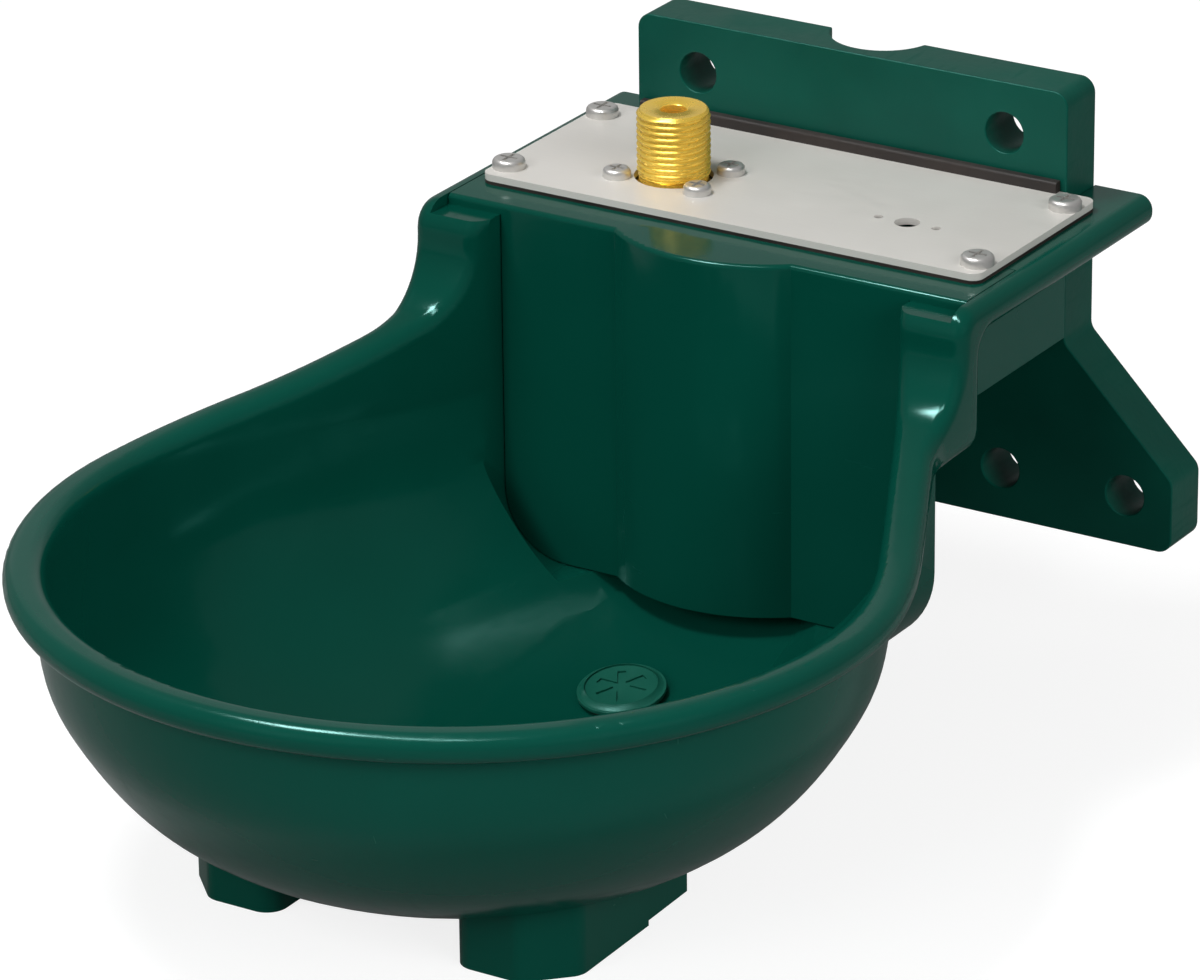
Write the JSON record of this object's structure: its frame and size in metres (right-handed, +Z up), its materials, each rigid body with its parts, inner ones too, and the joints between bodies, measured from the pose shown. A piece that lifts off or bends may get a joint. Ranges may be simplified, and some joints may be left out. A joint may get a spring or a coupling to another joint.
{
  "type": "livestock drinking bowl",
  "caption": "Wall-mounted livestock drinking bowl: round dish with rolled rim, float chamber behind a bulged front cover, metal cover plate with float valve, wall bracket.",
  "frame": {"origin": "under the middle of the overall box, on the plane of the feet", "axes": "+Z up, +Y towards the wall, +X to the right for a viewer who faces the wall"},
  "size_m": [0.243, 0.3416, 0.17],
  "materials": {
    "gloss_green": "glossy dark green, moulded",
    "matte_green": "satin dark green, slightly mottled",
    "plug_green": "glossy, a little lighter green",
    "plate_steel": "rolled stainless sheet",
    "steel": "bright stainless",
    "brass": "machined brass",
    "seal_rubber": "dull dark brown",
    "white_plastic": "white moulded"
  },
  "bodies": {
    "housing": {"bowl_body": "gloss_green", "wall_bracket": "matte_green", "bracket_screws": "steel", "front_cover": "gloss_green", "cover_plate": "plate_steel", "cover_gasket": "seal_rubber", "rear_seal_strip": "seal_rubber", "cover_screws": "steel", "screw_inserts": "brass", "valve_body": "brass", "valve_gasket": "seal_rubber", "valve_screws": "steel", "valve_nozzle": "brass", "pivot_pin": "steel", "pin_clips": "steel"},
    "float_lever": {"float_arm": "brass", "level_screw": "steel", "level_nut": "steel", "float": "white_plastic", "float_screw": "steel", "float_nut": "steel"},
    "piston": {"piston": "white_plastic", "piston_washer": "seal_rubber"},
    "drain": {"drain_plug": "plug_green", "drain_seal": "seal_rubber"}
  },
  "joints": [
    {"name": "lever_hinge", "type": "hinge", "parent": "housing", "child": "float_lever", "pos_m": [-0.044, 0.11135, 0.1078], "axis": [0, -1, 0], "range_deg": [0, 14]},
    {"name": "piston_slide", "type": "slide", "parent": "housing", "child": "piston", "axis": [0, 0, 1], "range_m": [0, 0.003]},
    {"name": "drain_pull", "type": "slide", "parent": "housing", "child": "drain", "axis": [0, -0.1756, 0.9845], "range_m": [0, 0.025]}
  ],
  "couplings": [
    {"joint": "piston_slide", "follows": "lever_hinge", "m_per_rad": 0.012}
  ]
}
